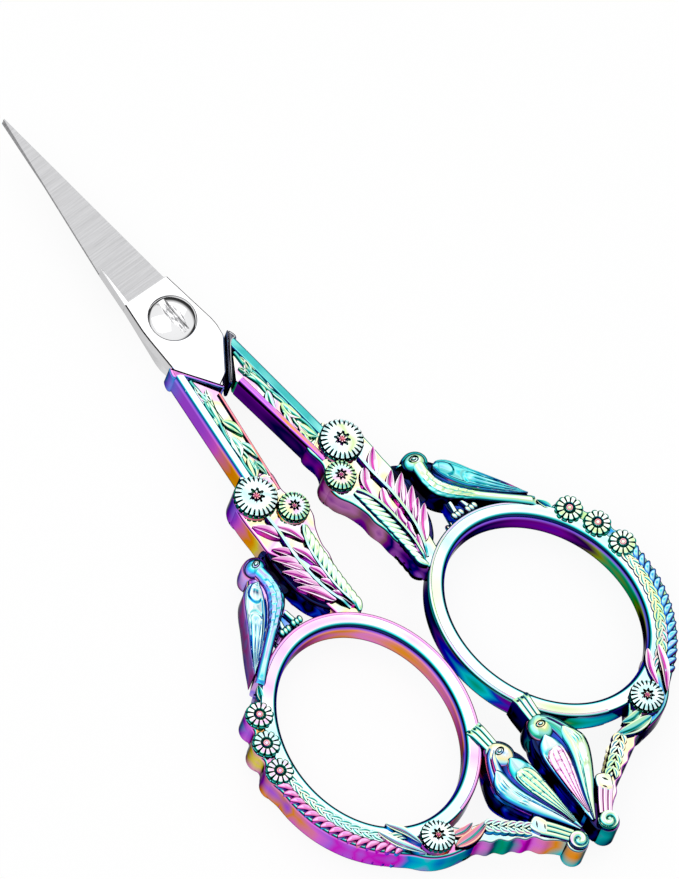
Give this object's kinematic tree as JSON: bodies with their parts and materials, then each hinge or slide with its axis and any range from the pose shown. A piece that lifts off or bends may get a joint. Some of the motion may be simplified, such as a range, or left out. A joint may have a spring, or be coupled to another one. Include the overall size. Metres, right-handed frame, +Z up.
{
  "type": "embroidery scissors",
  "caption": "Small pointed embroidery scissors: steel blades on a slotted pivot screw, cast rainbow-plated handles with flowers, leaves, birds and oval finger rings.",
  "frame": {"origin": "centre of the bounding box on the surface the closed scissors lie on", "axes": "+Y along the blades to the tips, +Z up from the table through the screw's slotted head, +X to the right handle"},
  "size_m": [0.0562, 0.1138, 0.006],
  "materials": {
    "blade_steel": "fine ground face, polished heel",
    "screw_steel": "mirror polish",
    "rainbow_plating": "mirror-bright plating with rainbow interference colours"
  },
  "bodies": {
    "right_half": {"right_handle": "rainbow_plating", "lower_blade": "blade_steel", "pivot_screw": "screw_steel"},
    "left_half": {"left_handle": "rainbow_plating", "upper_blade": "blade_steel"}
  },
  "joints": [
    {"name": "blade_pivot", "type": "hinge", "parent": "right_half", "child": "left_half", "pos_m": [0, 0.02495, 0.003], "axis": [0, 0, -1], "range_deg": [0, 60]}
  ]
}
